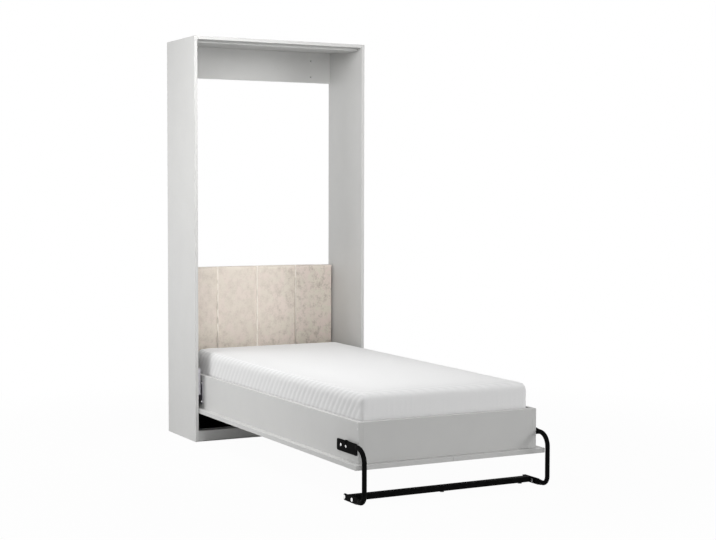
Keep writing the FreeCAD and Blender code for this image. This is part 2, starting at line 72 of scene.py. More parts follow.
mattress_low, mattress_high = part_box("mattress")
pad_low, pad_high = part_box("headboard_pad")
touching = 1e-6
crease = math.radians(35)


def length(label, text, value):
    """A length in metres that a user can change."""
    return bpy.props.FloatProperty(name=label, description=text, default=value, unit="LENGTH", precision=4)


def share(label, text, value):
    """A share between nothing and all."""
    return bpy.props.FloatProperty(name=label, description=text, default=value, min=0, max=1,
                                   subtype="FACTOR")


def number(label, text, value):
    """A plain number."""
    return bpy.props.FloatProperty(name=label, description=text, default=value)


def color(label, text, value):
    """A colour, written in linear light."""
    return bpy.props.FloatVectorProperty(name=label, description=text, default=value, size=3,
                                         min=0, max=1, subtype="COLOR")


def place(label, text, value):
    """A point in the row frame, in metres."""
    return bpy.props.FloatVectorProperty(name=label, description=text, default=value, size=3, unit="LENGTH")


def power(label, text, value):
    """The power of a lamp."""
    return bpy.props.FloatProperty(name=label, description=text, default=value, unit="POWER")


def rotation(label, text, value):
    """An angle in radians."""
    return bpy.props.FloatProperty(name=label, description=text, default=value, unit="ROTATION")


def count(label, text, value):
    """A whole number of pieces."""
    return bpy.props.IntProperty(name=label, description=text, default=value, min=1)


def group(kind, label, text):
    """A group of settings."""
    return bpy.props.PointerProperty(type=kind, name=label, description=text)


class FinishSettings(bpy.types.PropertyGroup):
    """Colours and gloss of the hard and soft surfaces."""

    board: color("Board", "Light grey of the faced boards", (0.62, 0.62, 0.61))
    board_gloss: share("Board roughness", "Roughness of the faced boards", 0.46)
    # Painted shade: this near-black colour paints the deep shade behind the lowered bed onto the panel
    # there.
    black_board: color("Black board", "Panel behind the lowered bed", (0.003, 0.003, 0.003))
    raw_wood: color("Raw wood", "Slat rails and batten", (0.62, 0.43, 0.25))
    slat_wood: color("Slat wood", "Sealed birch slats", (0.72, 0.54, 0.34))
    # The velvet and its painted shade are a lit and a shaded copy of one cream velvet; mixed in patches,
    # they paint the sheen and shade of the crushed pile.
    velvet: color("Velvet", "Cream crushed velvet, pile laid flat", (0.84, 0.757, 0.68))
    velvet_painted_shade: color("Velvet shade", "The same velvet with its pile turned away", (0.595, 0.523, 0.452))
    velvet_rose: color("Velvet rose", "Pinkish cast of the crushed pile", (0.84, 0.72, 0.662))
    velvet_moss: color("Velvet moss", "Yellowish cast of the crushed pile", (0.785, 0.748, 0.63))
    # Lighter than the velvet: partly the tight-folded pile, partly a painted highlight along each welt.
    welt: color("Welt", "Velvet folded tight along the sewn lines", (1.0, 0.93, 0.85))
    knit: color("Mattress cover", "White knitted cover", (0.90, 0.90, 0.90))
    zinc: color("Zinc", "Plated plates and brackets", (0.62, 0.61, 0.65))
    bright_zinc: color("Bright zinc", "Polished plated screws and bolts", (0.92, 0.92, 0.92))
    black_coat: color("Black coat", "Black powder coat of the leg", (0.005, 0.005, 0.005))
    black_plastic: color("Black plastic", "Moulded holders and floor pads", (0.016, 0.016, 0.016))
    nylon: color("Nylon", "Pivot bushes", (0.74, 0.73, 0.67))
    cap: color("Cover caps", "Plastic joint covers on the box", (0.74, 0.74, 0.73))


class MattressSettings(bpy.types.PropertyGroup):
    """Sizes of the knitted mattress."""

    voxel: length("Mesh size", "Grid of the cloth before it is refined", 0.015)
    inset: length("Starting inset", "How much smaller the foam starts than its space", 0.002)
    edge: length("Edge height", "Height of the foam at its foot edge", 0.204)
    corner: length("Corner round", "Round of the upright corners", 0.012)
    rim: length("Rim round", "Round of the long edges", 0.03)
    crown: length("Crown", "Rise of the top between its edges", 0.008)
    rise: length("Head rise", "How much higher the head end is than the foot", 0.012)
    pressure: number("Pressure", "Pressure that swells the cover", 4.0)
    swell: length("Swell", "Most that a point may swell", 0.003)
    rib_pitch: length("Rib pitch", "Spacing of the knitted ribs along the bed", 0.046)
    rib_height: length("Rib height", "Height of the knitted ribs on the sides", 0.003)
    rib_lean: number("Rib lean", "How far the ribs lean from square to the length", 0.8)
    rib_reach: length("Rib reach", "How far the ribs run onto the top before they fade", 0.10)
    rib_level: share("Rib level", "Share of a rib's height that lies under the plain cover", 0.6)
    # Painted shade in the cover's colour: darker rib valleys, and sides darker than the top.
    rib_painted_shade: share("Rib shade", "How much darker the valleys between the ribs are", 0.6)
    side_painted_shade: share("Side shade", "How much darker the sides are than the top", 0.6)


class HeadboardSettings(bpy.types.PropertyGroup):
    """Sizes of the sewn headboard pad."""

    columns: count("Columns", "Sewn columns side by side", 4)
    voxel: length("Mesh size", "Grid of the cloth before it is refined", 0.008)
    inset: length("Starting inset", "How much smaller the foam starts than its space", 0.001)
    rim: length("Rim round", "Round of the front edges", 0.006)
    valley: length("Valley", "Depth of the sewn lines under the columns", 0.004)
    pressure: number("Pressure", "Pressure that swells the velvet", 4.0)
    swell: length("Swell", "Most that a point may swell", 0.004)
    pinch: length("Pinch", "Half-width of the pinched strip at a sewn line", 0.006)
    pinch_depth: share("Pinch depth", "Depth of the pinched strip as a share of the valley", 0.2)
    welt: length("Welt", "Radius of the folded welt along a sewn line", 0.0045)
    welt_set: share("Welt set", "How far a welt's middle lies behind the front, in radii", 0.35)


class FastenerSettings(bpy.types.PropertyGroup):
    """Sizes of the screw and bolt heads."""

    dome: share("Dome share", "Share of a head's height that is domed", 0.55)
    socket: share("Socket share", "Width of the hexagon socket in a head", 0.42)
    sink: share("Socket depth", "Depth of the socket as a share of the head", 0.6)
    brow: share("Brow width", "Width of a head where its dome turns over", 0.93)
    crown: share("Crown width", "Width of a head's flat top", 0.78)
    head: length("Head height", "Height of a bolt's head", 0.0022)
    shank: length("Shank", "Radius of a bolt's shank", 0.0032)
    nut: length("Nut", "Half-width of a nut over its corners", 0.008)
    nut_height: length("Nut height", "Height of a nut", 0.005)


class StageSettings(bpy.types.PropertyGroup):
    """Camera, lamps and floor."""

    camera: place("Camera", "Where the camera stands", (-3.4267, -6.6943, 1.3774))
    yaw: rotation("Yaw", "Turn of the camera to the right of the wall's normal", 0.48406)
    pitch: rotation("Pitch", "Tilt of the camera above the horizon", -0.05321)
    roll: rotation("Roll", "Turn of the camera about its own view", -0.00236)
    lens: number("Lens", "Focal length in millimetres", 72.772)
    sensor: number("Sensor", "Width of the sensor in millimetres", 36.0)
    floor: length("Floor", "Half-width of the floor", 60.0)
    floor_color: color("Floor colour", "Pale floor", (0.55, 0.55, 0.55))
    floor_white: share("Floor white", "Share of plain white in the floor beside the bed", 0.97)
    floor_fade: length("Floor fade", "How far from the bed the floor is plain white", 3.2)
    cabinet_front: length("Cabinet front", "How far back the floor inside the cabinet starts", 0.75)
    ambient: number("Ambient", "Strength of the even light from all round", 0.2)
    front: place("Front lamp", "Where the low front lamp stands", (-1.5, -6.0, 0.8))
    front_power: power("Front power", "Power of the front lamp", 66.0)
    front_size: length("Front size", "Side of the front lamp", 2.0)
    right: place("Right lamp", "Where the right lamp stands", (4.0, -3.5, 2.2))
    right_power: power("Right power", "Power of the right lamp", 82.0)
    right_size: length("Right size", "Side of the right lamp", 2.0)
    back: place("Back lamp", "Where the lamp behind the left side stands", (-3.4, 2.4, 2.2))
    back_power: power("Back power", "Power of the back lamp", 24.0)
    back_size: length("Back size", "Side of the back lamp", 2.0)
    left: place("Left lamp", "Where the left lamp stands", (-2.6, 0.9, 1.3))
    left_power: power("Left power", "Power of the left lamp", 25.0)
    left_size: length("Left size", "Side of the left lamp", 1.5)
    top: place("Top lamp", "Where the lamp over the mattress hangs", (-0.9, -0.6, 2.6))
    top_power: power("Top power", "Power of the top lamp", 35.0)
    top_size: length("Top size", "Side of the top lamp", 1.2)


# Shader nodes

def new_material(name):
    """An empty node material with its shader."""
    material = bpy.data.materials.new(name)
    material.use_nodes = True
    tree = material.node_tree
    tree.nodes.clear()
    output = tree.nodes.new("ShaderNodeOutputMaterial")
    shader = tree.nodes.new("ShaderNodeBsdfPrincipled")
    tree.links.new(shader.outputs["BSDF"], output.inputs["Surface"])
    return material, tree, shader


def object_point(tree, stretch=(1, 1, 1), turn=(0, 0, 0)):
    """Object coordinates, stretched and turned."""
    source = tree.nodes.new("ShaderNodeTexCoord")
    mapping = tree.nodes.new("ShaderNodeMapping")
    mapping.inputs["Scale"].default_value = stretch
    mapping.inputs["Rotation"].default_value = turn
    tree.links.new(source.outputs["Object"], mapping.inputs["Vector"])
    return mapping.outputs["Vector"]


def noise(tree, point, scale, detail=3.0, roughness=0.55, distortion=0.0):
    """Cloudy noise, scale given in blotches per metre."""
    texture = tree.nodes.new("ShaderNodeTexNoise")
    texture.inputs["Scale"].default_value = scale
    texture.inputs["Detail"].default_value = detail
    texture.inputs["Roughness"].default_value = roughness
    texture.inputs["Distortion"].default_value = distortion
    tree.links.new(point, texture.inputs["Vector"])
    return texture.outputs["Fac"]


def waves(tree, point, scale, distortion=0.0, direction="X"):
    """Even waves, scale given in waves per metre over twenty."""
    texture = tree.nodes.new("ShaderNodeTexWave")
    texture.bands_direction = direction
    texture.inputs["Scale"].default_value = scale
    texture.inputs["Distortion"].default_value = distortion
    tree.links.new(point, texture.inputs["Vector"])
    return texture.outputs["Fac"]


def remap(tree, value, low, high, new_low, new_high):
    """A value carried from one range to another."""
    node = tree.nodes.new("ShaderNodeMapRange")
    node.inputs["From Min"].default_value = low
    node.inputs["From Max"].default_value = high
    node.inputs["To Min"].default_value = new_low
    node.inputs["To Max"].default_value = new_high
    tree.links.new(value, node.inputs["Value"])
    return node.outputs["Result"]


def math_node(tree, operation, first, second):
    """Two values added, multiplied or compared."""
    node = tree.nodes.new("ShaderNodeMath")
    node.operation = operation
    for socket, value in zip(node.inputs, (first, second)):
        if isinstance(value, (int, float)):
            socket.default_value = value
        else:
            tree.links.new(value, socket)
    return node.outputs["Value"]


def shared(tree, first, second, part):
    """A part of one value with the rest of another."""
    return math_node(tree, "ADD", math_node(tree, "MULTIPLY", first, part),
                     math_node(tree, "MULTIPLY", second, 1 - part))


def parted(tree, point):
    """The three coordinates of a point."""
    node = tree.nodes.new("ShaderNodeSeparateXYZ")
    tree.links.new(point, node.inputs["Vector"])
    return node.outputs


def two_tone(tree, value, first, second, low=0.35, high=0.65):
    """A colour that goes from one tone to another with a value."""
    ramp = tree.nodes.new("ShaderNodeValToRGB")
    ramp.color_ramp.elements[0].position = low
    ramp.color_ramp.elements[1].position = high
    ramp.color_ramp.elements[0].color = (*first, 1)
    ramp.color_ramp.elements[1].color = (*second, 1)
    tree.links.new(value, ramp.inputs["Fac"])
    return ramp.outputs["Color"]


def mixed_color(tree, amount, first, second):
    """Two colours mixed by an amount."""
    node = tree.nodes.new("ShaderNodeMix")
    node.data_type = "RGBA"
    tree.links.new(amount, node.inputs[0])
    tree.links.new(first, node.inputs[6])
    tree.links.new(second, node.inputs[7])
    return node.outputs[2]


def bump(tree, shader, height, depth, strength=1.0, under=None):
    """Relief of a given depth in metres on a shader's normal."""
    node = tree.nodes.new("ShaderNodeBump")
    node.inputs["Strength"].default_value = strength
    node.inputs["Distance"].default_value = depth
    tree.links.new(height, node.inputs["Height"])
    if under is not None:
        tree.links.new(under, node.inputs["Normal"])
    tree.links.new(node.outputs["Normal"], shader.inputs["Normal"])
    return node.outputs["Normal"]


def shade(tone, amount):
    """A tone made lighter or darker."""
    return tuple(min(1.0, channel * amount) for channel in tone)


# Finishes

def faced_board(name, tone, roughness, spread=0.012, gleam=0.35):
    """Melamine-faced board: faint clouding, a fine pearl texture and uneven gloss."""
    material, tree, shader = new_material(name)
    point = object_point(tree)
    clouds = noise(tree, point, 7.0, 4.0)
    tones = two_tone(tree, clouds, shade(tone, 1 - spread), shade(tone, 1 + spread))
    tree.links.new(tones, shader.inputs["Base Color"])
    grain = noise(tree, point, 900.0, 2.0)
    gloss = remap(tree, noise(tree, point, 60.0), 0.3, 0.7, roughness - 0.05, roughness + 0.05)
    tree.links.new(gloss, shader.inputs["Roughness"])
    shader.inputs["Specular IOR Level"].default_value = gleam
    bump(tree, shader, grain, 0.00012, 0.5)
    return material


def timber(name, tone, along):
    """Pale timber with its grain along one axis."""
    material, tree, shader = new_material(name)
    stretch = tuple(0.06 if axis == along else 1.0 for axis in "XYZ")
    point = object_point(tree, stretch)
    figure = noise(tree, point, 55.0, 6.0, 0.62, 1.2)
    pores = noise(tree, point, 600.0, 3.0)
    tones = two_tone(tree, figure, shade(tone, 0.72), shade(tone, 1.12), 0.3, 0.68)
    tree.links.new(tones, shader.inputs["Base Color"])
    tree.links.new(remap(tree, figure, 0.3, 0.7, 0.48, 0.66), shader.inputs["Roughness"])
    bump(tree, shader, pores, 0.0002, 0.6)
    return material


def moulded_plastic(name, tone, roughness):
    """Moulded plastic with a fine spark-eroded texture."""
    material, tree, shader = new_material(name)
    point = object_point(tree)
    patches = noise(tree, point, 40.0)
    tree.links.new(two_tone(tree, patches, shade(tone, 0.9), shade(tone, 1.1)), shader.inputs["Base Color"])
    gloss = remap(tree, patches, 0.3, 0.7, roughness - 0.06, roughness + 0.06)
    tree.links.new(gloss, shader.inputs["Roughness"])
    bump(tree, shader, noise(tree, point, 1400.0, 2.0), 0.00015, 0.6)
    return material


def crushed_velvet(name, tone, dark, rose, moss):
    """Crushed velvet: light and dark patches of pile as painted sheen and shade, stronger to the right and
    low down, where it is also painted darker as shade, with a soft sheen.
    """
    material, tree, shader = new_material(name)
    point = object_point(tree)
    patches = noise(tree, object_point(tree, (1, 1, 0.8)), 34.0, 3.0, 0.5)
    flecks = noise(tree, point, 110.0, 3.0, 0.6)
    pile = noise(tree, point, 2200.0, 2.0)
    spot = parted(tree, point)
    right = remap(tree, spot["X"], 0.02, 0.42, 0.0, 1.0)
    low = remap(tree, spot["Z"], 0.40, 0.64, 1.0, 0.0)
    # Painted shade: a mask that grows to the right and low down. It strengthens the painted patches,
    # darkens the velvet and adds more of the pink and green cast there.
    right_low_shade_and_tint = shared(tree, right, low, 0.6)
    crushed = math_node(tree, "ADD", math_node(tree, "MULTIPLY", right_low_shade_and_tint, 1.5), 0.6)
    turned_pile = math_node(tree, "SUBTRACT", shared(tree, patches, flecks, 0.6), 0.5)
    # Painted sheen and shade: the pile's patches become light and dark tones of the one velvet.
    painted_light = math_node(tree, "ADD", math_node(tree, "MULTIPLY", turned_pile, crushed), 0.56)
    # Painted shade: darker towards the right and low down.
    laid = math_node(tree, "SUBTRACT", painted_light, math_node(tree, "MULTIPLY", right_low_shade_and_tint, 0.05))
    tones = two_tone(tree, laid, dark, tone, 0.32, 0.6)
    casts = two_tone(tree, noise(tree, point, 11.0, 3.0, 0.6, 0.8), rose, moss, 0.42, 0.58)
    tint = remap(tree, laid, 0.4, 0.6, 0.0, 0.7)
    amount = math_node(tree, "MULTIPLY", math_node(tree, "ADD", right_low_shade_and_tint, 0.35), tint)
    tree.links.new(mixed_color(tree, amount, tones, casts), shader.inputs["Base Color"])
    tree.links.new(remap(tree, laid, 0.35, 0.65, 0.82, 0.62), shader.inputs["Roughness"])
    shader.inputs["Sheen Weight"].default_value = 0.35
    shader.inputs["Sheen Roughness"].default_value = 0.45
    shader.inputs["Specular IOR Level"].default_value = 0.2
    crush = bump(tree, shader, patches, 0.0016, 0.5)
    bump(tree, shader, pile, 0.0003, 0.6, crush)
    return material


def highlit_welt_velvet(name, tone):
    """The same velvet folded tight, painted lighter: partly its pressed pile, partly a painted highlight
    along the welt.
    """
    material, tree, shader = new_material(name)
    point = object_point(tree)
    flecks = noise(tree, point, 160.0, 4.0, 0.7)
    tree.links.new(two_tone(tree, flecks, shade(tone, 0.9), tone), shader.inputs["Base Color"])
    tree.links.new(remap(tree, flecks, 0.3, 0.7, 0.8, 0.65), shader.inputs["Roughness"])
    shader.inputs["Sheen Weight"].default_value = 0.5
    shader.inputs["Specular IOR Level"].default_value = 0.2
    bump(tree, shader, noise(tree, point, 2200.0, 2.0), 0.0003, 0.6)
    return material


def ribbed_knit(name, tone):
    """White double knit: crossing rows of small stitches, ribs with painted shade in their valleys and on
    the sides, and a soft sheen.
    """
    material, tree, shader = new_material(name)
    point = object_point(tree)
    slanted = object_point(tree, turn=(0, 0, 0.64))
    rows = waves(tree, slanted, 16.0, 0.6, "X")
    cross = waves(tree, slanted, 16.0, 0.6, "Y")
    stitches = math_node(tree, "MULTIPLY", rows, cross)
    fuzz = noise(tree, point, 700.0, 3.0)
    rib = tree.nodes.new("ShaderNodeAttribute")
    rib.attribute_name = "rib"
    # Painted shade: the valley tone darkens the rib valleys and the sides, as set by the rib attribute.
    valley = two_tone(tree, fuzz, shade(tone, 0.80), shade(tone, 0.85))
    crest = two_tone(tree, fuzz, shade(tone, 0.96), shade(tone, 1.03))
    tree.links.new(mixed_color(tree, rib.outputs["Fac"], valley, crest), shader.inputs["Base Color"])
    tree.links.new(remap(tree, fuzz, 0.3, 0.7, 0.82, 0.94), shader.inputs["Roughness"])
    shader.inputs["Sheen Weight"].default_value = 0.12
    shader.inputs["Specular IOR Level"].default_value = 0.15
    stitch = bump(tree, shader, stitches, 0.0007, 0.5)
    bump(tree, shader, fuzz, 0.0004, 0.5, stitch)
    return material


def plated_steel(name, tone, roughness):
    """Zinc-plated steel with a faint spangle and rolled streaks."""
    material, tree, shader = new_material(name)
    point = object_point(tree)
    spangle = noise(tree, point, 90.0, 4.0, 0.6, 0.8)
    streaks = noise(tree, object_point(tree, (1, 1, 0.05)), 700.0, 2.0)
    tones = two_tone(tree, spangle, shade(tone, 0.86), shade(tone, 1.1))
    tree.links.new(tones, shader.inputs["Base Color"])
    gloss = remap(tree, spangle, 0.3, 0.7, roughness - 0.08, roughness + 0.08)
    tree.links.new(gloss, shader.inputs["Roughness"])
    shader.inputs["Metallic"].default_value = 1.0
    bump(tree, shader, streaks, 0.00006, 0.5)
    return material


def powder_coat(name, tone):
    """Black powder coat with its fine orange peel."""
    material, tree, shader = new_material(name)
    point = object_point(tree)
    peel = noise(tree, point, 620.0, 2.0)
    dust = noise(tree, point, 35.0, 4.0)
    tree.links.new(two_tone(tree, dust, shade(tone, 0.8), shade(tone, 1.5)), shader.inputs["Base Color"])
    tree.links.new(remap(tree, dust, 0.3, 0.7, 0.5, 0.62), shader.inputs["Roughness"])
    shader.inputs["Specular IOR Level"].default_value = 0.01
    bump(tree, shader, peel, 0.00022, 0.55)
    return material


finishes = {}


def make_finishes(settings):
    """One material for each of the record's slots."""
    finishes["board"] = faced_board("light_grey_board", settings.board, settings.board_gloss)
    # The black board's near-black tone is painted shade for the deep shade behind the lowered bed.
    finishes["black_board"] = faced_board("black_board", settings.black_board, 0.8, 0.15, 0.0)
    finishes["raw_wood"] = timber("raw_softwood", settings.raw_wood, "Y")
    finishes["slat_wood"] = timber("birch_slat", settings.slat_wood, "X")
    finishes["black_plastic"] = moulded_plastic("black_moulding", settings.black_plastic, 0.5)
    finishes["velvet"] = crushed_velvet("cream_velvet", settings.velvet, settings.velvet_painted_shade,
                                        settings.velvet_rose, settings.velvet_moss)
    # The welt's lighter tone is partly a painted highlight.
    finishes["welt"] = highlit_welt_velvet("velvet_welt", settings.welt)
    finishes["mattress_cover"] = ribbed_knit("white_knit", settings.knit)
    finishes["zinc_steel"] = plated_steel("zinc_plate", settings.zinc, 0.36)
    finishes["bright_zinc"] = plated_steel("bright_zinc", settings.bright_zinc, 0.3)
    finishes["black_steel"] = powder_coat("black_powder_coat", settings.black_coat)
    finishes["nylon"] = moulded_plastic("natural_nylon", settings.nylon, 0.42)
    finishes["cover_cap"] = moulded_plastic("grey_cap", settings.cap, 0.4)


# Meshes

def new_piece(name, body, slot, mesh_data, replaced=(), finish=None):
    """Link a finished mesh as a piece that rides on a body, in its slot's finish or one like it."""
    piece = bpy.data.objects.new(name, mesh_data)
    bpy.context.scene.collection.objects.link(piece)
    piece.data.materials.append(finishes[finish or slot])
    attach(piece, body)
    if replaced:
        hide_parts(*replaced)
    return piece


def mesh_from(shape, name, smooth_angle=None):
    """Turn a bmesh into mesh data, shaded smooth below an angle."""
    bmesh.ops.recalc_face_normals(shape, faces=shape.faces)
    for face in shape.faces:
        face.smooth = True
    if smooth_angle is not None:
        for edge in shape.edges:
            edge.smooth = edge.is_manifold and edge.calc_face_angle(0) < smooth_angle
    data = bpy.data.meshes.new(name)
    shape.to_mesh(data)
    shape.free()
    return data


def plain_block(low, high):
    """A block between two corners."""
    shape = bmesh.new()
    bmesh.ops.create_cube(shape, size=1)
    bmesh.ops.scale(shape, vec=high - low, verts=shape.verts)
    bmesh.ops.translate(shape, vec=(low + high) / 2, verts=shape.verts)
    return shape


def round_edges(shape, edges, radius, segments):
    """Round some edges of a block."""
    bmesh.ops.bevel(shape, geom=edges, offset=radius, segments=segments, profile=0.5,
                    affect="EDGES", material=-1)


def rise_of(edge):
    """How far an edge runs upwards."""
    return abs(edge.verts[0].co.z - edge.verts[1].co.z)


def rounded_block(low, high, corner, rim):
    """A block with round upright corners and round rims, the start of the mattress."""
    shape = plain_block(low, high)
    round_edges(shape, [edge for edge in shape.edges if rise_of(edge) > touching], corner, 5)
    round_edges(shape, [edge for edge in shape.edges if rise_of(edge) < touching], rim, 4)
    return shape


def remeshed(data, voxel):
    """The same form with an even grid of faces."""
    holder = bpy.data.objects.new("grid", data)
    bpy.context.scene.collection.objects.link(holder)
    grid = holder.modifiers.new("Grid", "REMESH")
    grid.mode = "VOXEL"
    grid.voxel_size = voxel
    made = applied(holder)
    bpy.data.objects.remove(holder)
    return made


def applied(holder):
    """Mesh data of an object with its modifiers applied."""
    graph = bpy.context.evaluated_depsgraph_get()
    return bpy.data.meshes.new_from_object(holder.evaluated_get(graph))


def points_of(data):
    """Vertex places of a mesh as an array."""
    flat = np.zeros(len(data.vertices) * 3)
    data.vertices.foreach_get("co", flat)
    return flat.reshape(-1, 3)


def set_points(data, points):
    """Write vertex places back to a mesh."""
    data.vertices.foreach_set("co", points.ravel())
    data.update()


def normals_of(data):
    """Vertex normals of a mesh as an array."""
    flat = np.zeros(len(data.vertices) * 3)
    data.vertex_normals.foreach_get("vector", flat)
    return flat.reshape(-1, 3)


def swelled(data, pressure, swell, pinned):
    """Cloth under pressure: the cover swells between its pinned points, by no more than the swell."""
    holder = bpy.data.objects.new("cover", data)
    scene = bpy.context.scene
    scene.collection.objects.link(holder)
    rest = points_of(data)
    cloth = holder.modifiers.new("Swell", "CLOTH")
    cloth.settings.quality = 4
    cloth.settings.use_pressure = True
    cloth.settings.uniform_pressure_force = pressure
    cloth.settings.effector_weights.gravity = 0
    cloth.collision_settings.use_collision = False
    sewn = holder.vertex_groups.new(name="sewn")
    sewn.add([int(index) for index in np.flatnonzero(pinned)], 1.0, "REPLACE")
    cloth.settings.vertex_group_mass = sewn.name
    frames = 20
    for step in range(1, frames + 1):
        scene.frame_set(step)
    moved = applied(holder)
    offset = points_of(moved) - rest
    reach = np.linalg.norm(offset, axis=1, keepdims=True)
    offset *= np.minimum(1.0, swell / np.maximum(reach, 1e-9))
    bpy.data.objects.remove(holder)
    bpy.data.meshes.remove(moved)
    scene.frame_set(1)
    set_points(data, rest + offset)
    return data


def refined(data):
    """One level of subdivision, applied."""
    holder = bpy.data.objects.new("fine", data)
    bpy.context.scene.collection.objects.link(holder)
    fine = holder.modifiers.new("Fine", "SUBSURF")
    fine.levels = 1
    fine.render_levels = 1
    made = applied(holder)
    bpy.data.objects.remove(holder)
    for face in made.polygons:
        face.use_smooth = True
    return made


def solids_of(name):
    """Boxes of the separate solids of a CAD node, in order of their low corners."""
    node = frame["nodes"][name]
    shape = bmesh.new()
    shape.from_mesh(node.data)
    shape.transform(node.matrix_world)
    bmesh.ops.remove_doubles(shape, verts=shape.verts, dist=touching)
    left = set(shape.verts)
    boxes = []
    while left:
        reached = [left.pop()]
        points = []
        while reached:
            vert = reached.pop()
            points.append(vert.co.copy())
            near = {edge.other_vert(vert) for edge in vert.link_edges} & left
            left -= near
            reached.extend(near)
        low = Vector([min(point[axis] for point in points) for axis in range(3)])
        high = Vector([max(point[axis] for point in points) for axis in range(3)])
        boxes.append((low, high))
    shape.free()
    return sorted(boxes, key=lambda box: tuple(box[0]))


def turned(shape, start, toward, rings):
    """Add a piece turned about X: rings of a place along X, a radius and whether they are hexagons."""
    sides = 24
    before = None
    for along, radius, hexagon in rings:
        ring = []
        for step in range(sides):
            angle = 2 * math.pi * step / sides
            size = radius
            if hexagon:
                size *= math.cos(math.pi / 6) / math.cos(angle % (math.pi / 3) - math.pi / 6)
            offset = Vector((toward * along, size * math.cos(angle), size * math.sin(angle)))
            ring.append(shape.verts.new(start + offset))
        if before is None:
            shape.faces.new(ring)
        else:
            for step in range(sides):
                after = (step + 1) % sides
                shape.faces.new((before[step], before[after], ring[after], ring[step]))
        before = ring
    shape.faces.new(before)


def settings_of(context):
    """All of the part's settings."""
    return context.scene.wall_bed


# Operators

class WALLBED_OT_finishes(bpy.types.Operator):
    """Give every CAD node the finish of its slot in the record"""

    bl_idname = "wallbed.finishes"
    bl_label = "Finish the hard pieces"

    def execute(self, context):
        make_finishes(settings_of(context).finish)
        for subpart in frame["record"]["subparts"]:
            materials = frame["nodes"][subpart["node"]].data.materials
            materials.clear()
            materials.append(finishes[subpart["material_slot"]])
        return {"FINISHED"}


class WALLBED_OT_mattress(bpy.types.Operator):
    """Model the mattress: foam that swells its cover, then the cover's leaning knitted ribs"""

    bl_idname = "wallbed.mattress"
    bl_label = "Make the mattress"

    def execute(self, context):
        sizes = settings_of(context).mattress
        inset = Vector((sizes.inset, sizes.inset, 0))
        low = mattress_low + inset
        high = mattress_high - inset
        high.z = low.z + sizes.edge
        block = rounded_block(low, high, sizes.corner, sizes.rim)
        data = remeshed(mesh_from(block, "mattress_block"), sizes.voxel)
        points = points_of(data)
        bottom = points[:, 2] < low.z + sizes.voxel / 2
        data = swelled(data, sizes.pressure, sizes.swell, bottom)
        data = refined(data)
        self.rib(data, sizes)
        data.name = "mattress_cover"
        piece = new_piece("mattress_cover", "bed", "mattress_cover", data, ["mattress"])
        return {"FINISHED"}

    def rib(self, data, sizes):
        """Raise the crown, the head end and the ribs, inside the cover's space, and note the painted shade
        of the sides and the rib valleys.
        """
        points = points_of(data)
        normals = normals_of(data)
        middle = (mattress_low + mattress_high) / 2
        half = (mattress_high - mattress_low) / 2
        across = (points[:, 0] - middle.x) / half.x
        along = (points[:, 1] - middle.y) / half.y
        up = np.clip(normals[:, 2], 0, 1)
        dome = np.clip(1 - across ** 2, 0, 1) * np.clip(1 - along ** 4, 0, 1)
        height = np.clip((points[:, 2] - mattress_low.z) / sizes.edge, 0, 1)
        points[:, 2] += height * (sizes.crown * dome + sizes.rise * (1 + along) / 2)
        rim_drop = mattress_high.z - points[:, 2]
        girth = points[:, 0] + np.sign(across) * rim_drop * (np.abs(across) > 1 - sizes.rim / half.x)
        turn = 2 * math.pi * (points[:, 1] + sizes.rib_lean * girth) / sizes.rib_pitch
        crest = np.abs(np.cos(turn / 2))
        side = 1 - np.abs(normals[:, 1])
        edge = np.minimum(half.x * (1 - np.abs(across)), half.y * (1 - np.abs(along)))
        fade = 1 - up ** 2 * (1 - np.exp(-(edge / sizes.rib_reach) ** 2))
        above = points[:, 2] > mattress_low.z + sizes.rim
        reach = side * fade * above
        points += normals * ((crest - sizes.rib_level) * sizes.rib_height * reach)[:, None]
        set_points(data, np.clip(points, np.array(mattress_low), np.array(mattress_high)))
        # Painted shade: sides darker than the top and valleys darker than crests, kept in the rib attribute
        # for the cover's colour.
        shaded = sizes.side_painted_shade * (1 - up ** 2) + sizes.rib_painted_shade * (1 - crest) * (1 + up)
        painted_light = data.attributes.new("rib", "FLOAT", "POINT")
        painted_light.data.foreach_set("value", 1 - shaded * reach)


